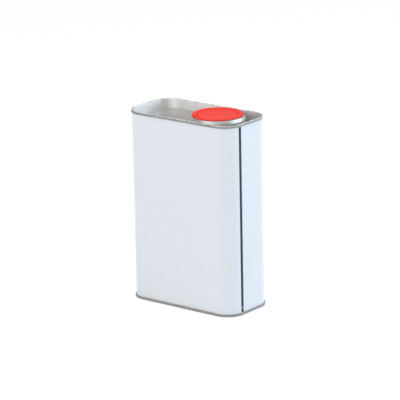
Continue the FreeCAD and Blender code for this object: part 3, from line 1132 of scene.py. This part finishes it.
@dataclass
class PressedEnds:
    """The countersunk top with its drawn neck, and the base, both folded round the wall's edges."""

    plan: Plan
    height: float
    spout_x: float
    sheet: float = 0.28 * MM
    seam_height: float = 2.6 * MM
    seam_face: float = 0.94 * MM
    hook_face: float = 0.04 * MM
    hook_length: float = 1.3 * MM
    crown: float = 0.6 * MM
    chuck_top: float = 0.55 * MM
    chuck_foot: float = 1.07 * MM
    gutter_radius: float = 1.8 * MM
    step_start: float = 4.62 * MM
    step_run: float = 0.935 * MM
    step_rise: float = 0.9 * MM
    step_radius: float = 1.59 * MM
    panel_edge: float = 6.4 * MM
    top_recess: float = 10.4 * MM
    base_recess: float = 4.2 * MM
    neck_radius: float = 20.48 * MM
    neck_root: float = 1.2 * MM
    neck_start: float = 1.44 * MM
    neck_rise: float = 8.4 * MM
    curl_radius: float = 1.42 * MM
    base_panel_shares: tuple[float, ...] = (0.7, 0.4, 0.0)
    roll_and_shade_gain: float = 2.0
    roll_and_shade_start: float = 0.6

    def build(self) -> None:
        """Makes the top and the base."""
        put("pressed_top", self.top(), TINPLATE, Body.TIN, "top_end")
        put("pressed_base", self.base(), TINPLATE, Body.TIN, "bottom_end")

    def rim(self, recess: float) -> list[Point]:
        """Outer face of an end from its hook, over the crown, to the edge of its panel.

        Args:
            recess: Depth of the gutter under the crown.

        Returns:
            The points of the run, with heights as on the top.
        """
        face = self.plan.half_width
        seam, hook = face + self.seam_face, face + self.hook_face
        fold = (seam - hook) / 2 * SNUG
        low, gutter = self.height - self.seam_height, self.height - recess
        step = face - self.step_start
        panel = gutter + self.step_rise
        return rounded([
            (hook, low + self.hook_length, 0.0),
            (hook, low, fold),
            (seam, low, fold),
            (seam, self.height, self.crown),
            (face - self.chuck_top, self.height, self.crown),
            (face - self.chuck_foot, gutter, self.gutter_radius),
            (step, gutter, self.step_radius),
            (step - self.step_run, panel, self.step_radius),
            (face - self.panel_edge, panel, 0.0),
        ])

    def top(self) -> bpy.types.Mesh:
        """The top as one sheet: rim, recess, panel, and the neck curled out into its bead.

        Returns:
            Its mesh.
        """
        rim = self.rim(self.top_recess)
        edge = rim[-1]
        axis = Vector((self.spout_x, 0, 0))
        ways = [(Vector((point.x, point.y, 0)) - axis).normalized() for point in self.plan.ring(*edge)]
        curl, bend = self.curl_radius, self.curl_radius * SNUG
        bead = edge[1] + self.neck_rise - self.sheet
        neck = rounded([
            (self.neck_radius + self.neck_start, edge[1], 0.0),
            (self.neck_radius, edge[1], self.neck_root),
            (self.neck_radius, bead, bend),
            (self.neck_radius + 2 * curl, bead, bend),
            (self.neck_radius + 2 * curl, bead - 2 * curl, bend),
            (self.neck_radius + curl, bead - 2 * curl, 0.0),
        ])
        section = thicken(rim + neck, self.sheet)
        last, first = len(rim), len(section) - len(rim)
        rings = []
        for index, (across, high) in enumerate(section):
            if last <= index < first:
                rings.append([axis + way * across + Vector((0, 0, high)) for way in ways])
            else:
                rings.append(self.plan.ring(across, high))
        return loft(rings, "pressed_top", wrap=True, rolled_and_shaded=[self.roll_and_shade_share(point) for point in section])

    def roll_and_shade_share(self, point: Point) -> float:
        """How far the seaming rolls dulled a point of an end, and how much painted shade it gets.

        Args:
            point: Across and height of the point, as on the top.

        Returns:
            1 on the seam's outer face, 0 from its crown on.
        """
        across, high = point
        inside = self.plan.half_width + self.seam_face - self.crown
        share = (across - inside) / self.crown * min((self.height - high) / self.crown, 1.0)
        return clamped(self.roll_and_shade_gain * share - self.roll_and_shade_start)

    def base(self) -> bpy.types.Mesh:
        """The base: the same rim turned over, round a shallower panel.

        Returns:
            Its mesh.
        """
        section = thicken(self.rim(self.base_recess), self.sheet)
        rings = [self.plan.ring(across, self.height - high) for across, high in section]
        rolled_and_shaded = [self.roll_and_shade_share(point) for point in section]
        half = len(rings) // 2
        under = [shrunk(rings[half - 1], share) for share in self.base_panel_shares]
        over = [shrunk(rings[half], share) for share in self.base_panel_shares[::-1]]
        panel = [0.0] * len(over)
        return loft(
            over + rings[half:] + rings[:half] + under,
            "pressed_base",
            rolled_and_shaded=panel + rolled_and_shaded[half:] + rolled_and_shaded[:half] + panel,
        )


@dataclass
class Turner:
    """Turns sections about the spout's axis."""

    spout_x: float
    pieces: int = 160
    path_radius: float = 20.0 * MM

    def turn(self, section: Sequence[Point], finish: Finish, name: str) -> bpy.types.Mesh:
        """Turns one closed section.

        Args:
            section: Radius and height of its points.
            finish: Finish that the recipe sets.
            name: Name of the mesh.

        Returns:
            The turned mesh.
        """
        return turned_on_axis().make(
            outline(section, self.path_radius, name),
            finish,
            Radius=self.path_radius,
            Pieces=self.pieces,
            Centre=(self.spout_x, 0.0, 0.0),
        )


@dataclass
class Thread:
    """The coarse moulded screw thread that the spout and the cap share."""

    spout_x: float
    foot: float = 166.0 * MM
    pitch: float = 3.0 * MM
    turns: float = 2.2
    depth: float = 0.42 * MM
    half_root: float = 0.75 * MM
    half_crest: float = 0.35 * MM
    sunk: float = 0.15 * MM
    pieces: int = 72
    run_out: float = 0.12

    def wind(self, root: float, face: Face, finish: Finish) -> bpy.types.Mesh:
        """Winds the thread on a round wall, half a pitch higher inside one.

        Args:
            root: Radius of the wall.
            face: Face of the wall that carries it.
            finish: Finish that the recipe sets.

        Returns:
            The mesh of the thread.
        """
        foot = self.foot if face is Face.OUTER else self.foot + self.pitch / 2
        buried, crest = -self.sunk * face.value, self.depth * face.value
        section = [
            (buried, -self.half_root),
            (buried, self.half_root),
            (crest, self.half_crest),
            (crest, -self.half_crest),
        ]
        return wound_thread().make(
            outline(section, 0.0, "thread_section"),
            finish,
            Radius=root,
            Rise=self.pitch * self.turns,
            Turns=self.turns,
            Run_Out=self.run_out,
            Pieces=self.pieces,
            Foot=(self.spout_x, 0.0, foot),
        )


@dataclass
class PouringSpout:
    """The crimped ring, the collar that it holds, the flexible wall and the pouring tube."""

    turner: Turner
    thread: Thread
    ring_sheet: float = 0.25 * MM
    ring_lip: float = 1.3 * MM
    ring_shoulder: float = 3.0 * MM
    ring_steps: int = 16
    roll_inner: float = 23.42 * MM
    roll_foot: float = 2.99 * MM
    roll_drop: float = 1.20 * MM
    roll_inset: float = 0.62 * MM
    roll_rise: float = 0.5 * MM
    roll_round: float = 8.6 * MM
    roll_edge: float = 0.1 * MM
    collar_thickness: float = 1.1 * MM
    skirt_wall: float = 0.9 * MM
    skirt_round: float = 0.72 * MM
    web_wall: float = 0.9 * MM
    hinge_wall: float = 0.55 * MM
    hinge_share: float = 0.12
    web_rows: int = 48
    foot_height: float = 2.0 * MM
    foot_fillet: float = 1.2 * MM
    mouth_radius: float = 10.4 * MM
    tube_radius: float = 12.0 * MM
    lip_round: float = 0.5 * MM
    edge_round: float = 0.3 * MM

    def build(self) -> None:
        """Makes the ring, the collar, the flexible wall and the tube."""
        put("crimped_ring", self.ring(), RING_TIN, Body.TIN, "crimp_ring")
        put("clamped_collar", self.collar(), SPOUT_PLASTIC, Body.TIN, "spout_flange")
        put("pouring_tube", self.tube(), SPOUT_PLASTIC, Body.SPOUT, "spout_neck")
        web = put("folding_wall", self.web(), SPOUT_PLASTIC, None, "spout_web")
        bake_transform(web)

    def ring(self) -> bpy.types.Mesh:
        """The sheet ring, from its curl under the bead to the roll round the bails and its lip.

        Returns:
            Its mesh.
        """
        outer, low, high = span("crimp_ring")
        curl = (high - low) / 2
        middle = outer - curl
        bend = [(middle, low, 0.0), (outer, low, curl * SNUG)]
        lip = (middle - self.ring_lip, high, 0.0)
        face = rounded([*bend, (outer, high, self.ring_shoulder), lip], self.ring_steps)
        roll = [
            (outer, high - self.roll_foot, self.roll_edge),
            (outer - self.roll_inset, high - self.roll_drop, self.roll_round),
            (self.roll_inner, high + self.roll_rise, self.roll_edge),
            (self.roll_inner, high, self.roll_edge),
        ]
        inside = thicken(face, self.ring_sheet)[len(face) :]
        section = rounded([*bend, *roll, lip], self.ring_steps) + inside
        return self.turner.turn(section, RING_TIN, "crimped_ring")

    def collar(self) -> bpy.types.Mesh:
        """The collar that grips the bead, with its skirt inside the neck.

        Returns:
            Its mesh.
        """
        outer, low, high = span("spout_flange")
        skirt, _, foot = span("spout_web")
        inner = skirt - self.skirt_wall
        hold = (high - low) / 2
        grip = hold - self.collar_thickness
        middle, level = outer - hold, low + hold
        section = rounded([
            (skirt, foot, 0.0),
            (skirt, level, 0.0),
            (middle - grip, level, 0.0),
            (middle - grip, level + grip, grip * SNUG),
            (middle + grip, level + grip, grip * SNUG),
            (middle + grip, level - grip, grip * SNUG),
            (middle, level - grip, 0.0),
            (middle, low, 0.0),
            (outer, low, hold * SNUG),
            (outer, high, hold * SNUG),
            (inner, high, self.skirt_round),
            (inner, foot, 0.0),
        ])
        return self.turner.turn(section, SPOUT_PLASTIC, "clamped_collar")

    def web(self) -> bpy.types.Mesh:
        """The flexible wall, thinned into a hinge at both ends.

        Returns:
            Its mesh.
        """
        top, low, high = span("spout_web")
        foot = span("spout_neck")[0]
        outer, inner = [], []
        for row in range(self.web_rows + 1):
            share = row / self.web_rows
            end = min(share, 1 - share) / self.hinge_share
            wall = self.hinge_wall + (self.web_wall - self.hinge_wall) * min(end, 1.0)
            radius = top + (foot - top) * share - (self.web_wall - wall) / 2
            height = high + (low - high) * share
            outer.append((radius, height))
            inner.append((radius - wall, height))
        return self.turner.turn(outer + inner[::-1], SPOUT_PLASTIC, "folding_wall")

    def tube(self) -> bpy.types.Mesh:
        """The pouring tube on its foot, with the thread for the cap.

        Returns:
            The mesh of both.
        """
        foot, low, high = span("spout_neck")
        shelf, middle = low + self.foot_height, (low + high) / 2
        section = rounded([
            (self.mouth_radius, middle, 0.0),
            (self.mouth_radius, low, self.edge_round),
            (foot, low, self.edge_round),
            (foot, shelf, self.edge_round),
            (self.tube_radius, shelf, self.foot_fillet),
            (self.tube_radius, high, self.lip_round),
            (self.mouth_radius, high, self.lip_round),
            (self.mouth_radius, middle, 0.0),
        ])[:-1]
        body = self.turner.turn(section, SPOUT_PLASTIC, "pouring_tube")
        return join([body, self.thread.wind(self.tube_radius, Face.OUTER, SPOUT_PLASTIC)], "pouring_tube")


@dataclass
class ScrewCap:
    """The red screw cap, with its hinge lugs and thread, and the sealing disc inside."""

    turner: Turner
    thread: Thread
    disc_radius: float = 18.1 * MM
    disc_thickness: float = 1.1 * MM
    disc_round: float = 0.4 * MM
    dish: float = 0.18 * MM
    dish_edge: float = 1.6 * MM
    gate_radius: float = 1.1 * MM
    gate_depth: float = 0.2 * MM
    skirt_outer: float = 14.05 * MM
    skirt_inner: float = 12.55 * MM
    ceiling_drop: float = 1.23 * MM
    edge_round: float = 0.25 * MM
    lug_half: float = 1.25 * MM
    lug_reach: float = 22.7 * MM
    lug_start: float = 17.4 * MM
    lug_round: float = 0.25 * MM
    lug_steps: int = 3
    liner_round: float = 0.3 * MM
    liner_steps: int = 4
    dent_radius: float = 11.2 * MM
    dent_half: float = 0.9 * MM
    dent_depth: float = 0.12 * MM

    def build(self) -> None:
        """Makes the cap and its sealing disc."""
        put("red_screw_cap", self.cap(), RED_PLASTIC, Body.SCREW_CAP, "cap")
        put("sealing_disc", self.liner(), FOAM, Body.SEAL, "cap_liner")

    def cap(self) -> bpy.types.Mesh:
        """Disc, skirt, lugs and thread as one moulding.

        Returns:
            The mesh of them all.
        """
        _, low, top = span("cap")
        under, ceiling, dished = top - self.disc_thickness, top - self.ceiling_drop, top - self.dish
        rim = self.disc_radius - self.dish_edge
        section = rounded([
            (0.0, ceiling, 0.0),
            (self.skirt_inner, ceiling, self.edge_round),
            (self.skirt_inner, low, self.edge_round),
            (self.skirt_outer, low, self.edge_round),
            (self.skirt_outer, under, self.edge_round),
            (self.disc_radius, under, self.edge_round),
            (self.disc_radius, top, self.disc_round),
            (rim, top, self.edge_round),
            (rim - self.dish, dished, self.edge_round),
            (self.gate_radius, dished, 0.0),
            (self.gate_radius - self.gate_depth, dished - self.gate_depth, 0.0),
            (0.0, dished - self.gate_depth, 0.0),
        ])
        parts = [self.turner.turn(section, RED_PLASTIC, "cap_body")]
        parts += [self.lug(side, under, top) for side in (1, -1)]
        parts.append(self.thread.wind(self.skirt_inner, Face.INNER, RED_PLASTIC))
        return join(parts, "red_screw_cap")

    def lug(self, side: int, low: float, high: float) -> bpy.types.Mesh:
        """One hinge lug.

        Args:
            side: 1 or -1, for the two ends of the hinge line.
            low: Height of its underside.
            high: Height of its top.

        Returns:
            The mesh of the lug.
        """
        along = spoke(math.radians(HINGE_ANGLE)) * side
        across = Vector((-along.y, along.x, 0))
        axis = Vector((self.turner.spout_x, 0, 0))
        shape = bmesh.new()
        bmesh.ops.create_cube(shape, size=1.0)
        for vert in shape.verts:
            reach = self.lug_start + (self.lug_reach - self.lug_start) * (vert.co.x + 0.5)
            height = low + (high - low) * (vert.co.z + 0.5)
            aside = 2 * self.lug_half * vert.co.y
            vert.co = axis + along * reach + across * aside + Vector((0, 0, height))
        bevel = {"offset": self.lug_round, "segments": self.lug_steps, "profile": ROUND_PROFILE}
        bmesh.ops.bevel(shape, geom=shape.edges[:], affect="EDGES", **bevel)
        return closed(shape, "hinge_lug")

    def liner(self) -> bpy.types.Mesh:
        """The sealing disc, dented where the spout's lip presses it.

        Returns:
            Its mesh.
        """
        outer, low, high = span("cap_liner")
        start, end = self.dent_radius - self.dent_half, self.dent_radius + self.dent_half
        pressed = low + self.dent_depth
        corners = [
            (0.0, low, 0.0),
            (start, low, self.liner_round),
            (start + self.dent_depth, pressed, self.dent_depth),
            (end - self.dent_depth, pressed, self.dent_depth),
            (end, low, self.dent_depth / 2),
            (outer, low, self.liner_round / 2),
            (outer, high, self.liner_round),
            (0.0, high, 0.0),
        ]
        return self.turner.turn(rounded(corners, self.liner_steps), FOAM, "sealing_disc")


@dataclass
class PullBails:
    """The two half rings that lie round the cap and are lifted to pull the spout up."""

    spout_x: float
    inner: float = 18.45 * MM
    outer: float = 23.3 * MM
    barrel_radius: float = 0.5 * MM
    hinge_offset: float = 1.9 * MM
    notch_start: float = 1.2 * MM
    notch_end: float = 1.9 * MM
    outer_round: float = 1.1 * MM
    inner_round: float = 0.3 * MM
    foot_round: float = 0.2 * MM
    round_steps: int = 5
    rows: int = 120

    def build(self) -> None:
        """Makes the rear and the front bail."""
        put("rear_pull_bail", self.bail(HINGE_ANGLE), RED_PLASTIC, Body.REAR_BAIL, "bail_rear")
        put("front_pull_bail", self.bail(HINGE_ANGLE + 180), RED_PLASTIC, Body.FRONT_BAIL, "bail_front")

    def levels(self, out: float) -> Point:
        """Underside and top of the bail.

        Args:
            out: Distance from the hinge line's plane.

        Returns:
            The two heights.
        """
        _, low, high = span("bail_rear")
        barrel = low + self.barrel_radius
        short = self.hinge_offset - out
        if short > 0:
            half = math.sqrt(max(self.barrel_radius**2 - short**2, 0.0))
            return barrel - half, barrel + half
        share = clamped((-short - self.notch_start) / (self.notch_end - self.notch_start))
        step = share * share * (3 - 2 * share)
        return low, barrel + self.barrel_radius + (high - barrel - self.barrel_radius) * step

    def bail(self, turned: float) -> bpy.types.Mesh:
        """One half ring.

        Args:
            turned: Angle of its hinge line.

        Returns:
            The mesh of the bail.
        """
        _, low, high = span("bail_rear")
        tall, wide = high - low, self.outer - self.inner
        corners = [
            (wide / 2, 0.0, 0.0),
            (wide, 0.0, self.foot_round),
            (wide, tall, self.outer_round),
            (0.0, tall, self.inner_round),
            (0.0, 0.0, self.foot_round),
            (wide / 2, 0.0, 0.0),
        ]
        section = rounded(corners, self.round_steps)[:-1]
        end = self.hinge_offset - self.barrel_radius
        rings = []
        for row in range(self.rows + 1):
            along = (1 - math.cos(math.pi * row / self.rows)) / 2
            ring = []
            for across, rise in section:
                radius = self.inner + across
                start = math.asin(end / radius)
                angle = start + (math.pi - 2 * start) * along
                bottom, top = self.levels(radius * math.sin(angle))
                height = bottom + (top - bottom) * rise / tall
                angle += math.radians(turned)
                x, y = radius * math.cos(angle), radius * math.sin(angle)
                ring.append(Vector((self.spout_x + x, y, height)))
            rings.append(ring)
        return loft(rings, "pull_bail")


def direction(azimuth: float, elevation: float) -> Vector:
    """The way from the tin to a viewer or lamp, azimuth 0 being the front."""
    turn, tilt = math.radians(azimuth), math.radians(elevation)
    return Vector((math.sin(turn) * math.cos(tilt), -math.cos(turn) * math.cos(tilt), math.sin(tilt)))


@dataclass
class Viewpoint:
    """The camera, at the viewing angle of the picture."""

    azimuth: float = 38.461
    elevation: float = 15.897
    roll: float = -1.101
    distance: float = 2.510
    lens: float = 250.7
    picture_side: float = 400.0
    tin_middle_px: Point = (198.265, 206.555)

    def build(self, middle: Vector) -> None:
        """Makes the camera.

        Args:
            middle: Middle of the tin, which lies at its named pixel.
        """
        data = bpy.data.cameras.new("viewpoint")
        data.lens = self.lens
        camera = linked("viewpoint", data)
        back = direction(self.azimuth, self.elevation)
        turn = (-back).to_track_quat("-Z", "Y") @ Quaternion((0, 0, 1), math.radians(self.roll))
        pixel = data.sensor_width / self.lens * self.distance / self.picture_side
        right = (self.picture_side / 2 - self.tin_middle_px[0]) * pixel
        up = (self.tin_middle_px[1] - self.picture_side / 2) * pixel
        camera.rotation_mode = "QUATERNION"
        camera.rotation_quaternion = turn
        camera.location = middle + turn @ Vector((right, up, self.distance))
        bpy.context.scene.camera = camera


@dataclass(frozen=True)
class Softbox:
    """A square soft lamp, whose level is the brightness that it gives a white card."""

    label: str
    azimuth: float
    elevation: float
    distance: float
    side: float
    level: float
    colour: Colour = (1.0, 1.0, 1.0)

    def build(self, middle: Vector) -> None:
        """Makes the lamp.

        Args:
            middle: Point that it faces.
        """
        data = bpy.data.lights.new(self.label, "AREA")
        data.shape = "SQUARE"
        data.size = self.side
        data.color = self.colour
        data.energy = self.level * math.pi**2 * self.distance**2
        lamp = linked(self.label, data)
        back = direction(self.azimuth, self.elevation)
        lamp.location = middle + back * self.distance
        lamp.rotation_mode = "QUATERNION"
        lamp.rotation_quaternion = (-back).to_track_quat("-Z", "Y")


@dataclass
class Studio:
    """The pale floor, the soft lamps and the white surroundings."""

    floor_half: float = 6.0
    floor_white: float = 0.90
    floor_glow: float = 1.10
    floor_share: float = 0.76
    ambient: float = 0.31
    haze: float = 0.30
    sky: float = 0.42
    gap_azimuth: float = 36.0
    gap_edge: float = 0.30
    gap_core: float = 0.85
    gap_tone: float = 0.75
    softboxes: tuple[Softbox, ...] = (
        Softbox("front_softbox", -5.0, 22.0, 1.6, 1.2, 0.32),
        Softbox("right_softbox", 130.0, 14.0, 1.5, 1.6, 0.82, (0.65, 0.84, 1.0)),
        Softbox("overhead_softbox", 0.0, 88.0, 1.5, 3.2, 1.10),
    )

    def build(self, middle: Vector) -> None:
        """Makes the surroundings.

        Args:
            middle: Middle of the tin, which the lamps face.
        """
        for softbox in self.softboxes:
            softbox.build(middle)
        self.floor()
        self.surroundings()
        bpy.context.scene.view_settings.view_transform = "Standard"

    def floor(self) -> None:
        """A pale floor that shows white and keeps the tin's shadow."""
        mesh = bpy.data.meshes.new("floor")
        half = self.floor_half
        corners = [(-half, -half, 0), (half, -half, 0), (half, half, 0), (-half, half, 0)]
        mesh.from_pydata(corners, [], [(0, 1, 2, 3)])
        paint = bpy.data.materials.new("pale_floor")
        paint.use_nodes = True
        graph = Graph(paint.node_tree)
        white = (self.floor_white, self.floor_white, self.floor_white, 1.0)
        matt = graph.node("ShaderNodeBsdfDiffuse", {}, {"Color": white})
        glow = graph.node("ShaderNodeEmission", {}, {"Color": WHITE, "Strength": self.floor_glow})
        share = self.seen(graph) * self.floor_share
        lit = graph.node("ShaderNodeMixShader", {}, {0: share, 1: matt, 2: glow})
        graph.node("ShaderNodeOutputMaterial", {}, {"Surface": lit})
        mesh.materials.append(paint)
        floor = linked("floor", mesh)

    def seen(self, graph: Graph) -> Wire:
        """Tells rays that see the surroundings from those that only light the tin.

        Args:
            graph: Nodes that need to know.

        Returns:
            1 for rays that see them straight, in metal or through plastic, or else 0.
        """
        ways = ("Is Camera Ray", "Is Glossy Ray", "Is Transmission Ray")
        camera, glossy, through = [graph.node("ShaderNodeLightPath", out=way) for way in ways]
        return graph.maths("MAXIMUM", camera, graph.maths("MAXIMUM", glossy, through))

    def surroundings(self) -> None:
        """White all round, but what metal mirrors has a greyer ceiling and a darker gap between the lamps."""
        world = bpy.data.worlds.new("surroundings")
        world.use_nodes = True
        graph = Graph(world.node_tree)
        way = graph.node("ShaderNodeTexCoord", out="Generated")
        height = graph.node("ShaderNodeSeparateXYZ", {}, {0: way}, "Z")
        mirrored = graph.node("ShaderNodeLightPath", out="Is Glossy Ray")
        ceiling = 1.0 - graph.fade(height, 0.0, self.haze) * (1.0 - self.sky)
        sides = {0: way, 1: tuple(direction(self.gap_azimuth, 0.0))}
        facing = graph.node("ShaderNodeVectorMath", {"operation": "DOT_PRODUCT"}, sides, "Value")
        gap = graph.fade(facing, self.gap_edge, self.gap_core) * (1.0 - self.gap_tone)
        shown = 1.0 - mirrored * (1.0 - ceiling * (1.0 - gap))
        seen = self.seen(graph)
        strength = seen * shown + (1.0 - seen) * self.ambient
        light = graph.node("ShaderNodeBackground", {}, {"Color": WHITE, "Strength": strength})
        graph.node("ShaderNodeOutputWorld", {}, {"Surface": light})
        bpy.context.scene.world = world


def main() -> None:
    """Builds the tin from the body to the closure, then the studio."""
    logging.basicConfig(level=logging.INFO, format="%(name)s: %(message)s")
    plan = tin_plan()
    height = BOXES["top_end"][1].z
    ring_low, ring_high = BOXES["crimp_ring"]
    spout_x = (ring_low.x + ring_high.x) / 2
    turner, thread = Turner(spout_x), Thread(spout_x)
    for assembly in (
        TinBody(plan, height),
        PressedEnds(plan, height, spout_x),
        PouringSpout(turner, thread),
        ScrewCap(turner, thread),
        PullBails(spout_x),
    ):
        assembly.build()
    for node in ("top_seam_compound", "bottom_seam_compound"):
        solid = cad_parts[node]
        solid.data.materials.clear()
        solid.data.materials.append(COMPOUND.material())
        LOG.info("%s: packed solid with its own finish", node)
    middle = Vector((0, 0, height / 2))
    Viewpoint().build(middle)
    Studio().build(middle)


if __name__ == "__main__":
    main()
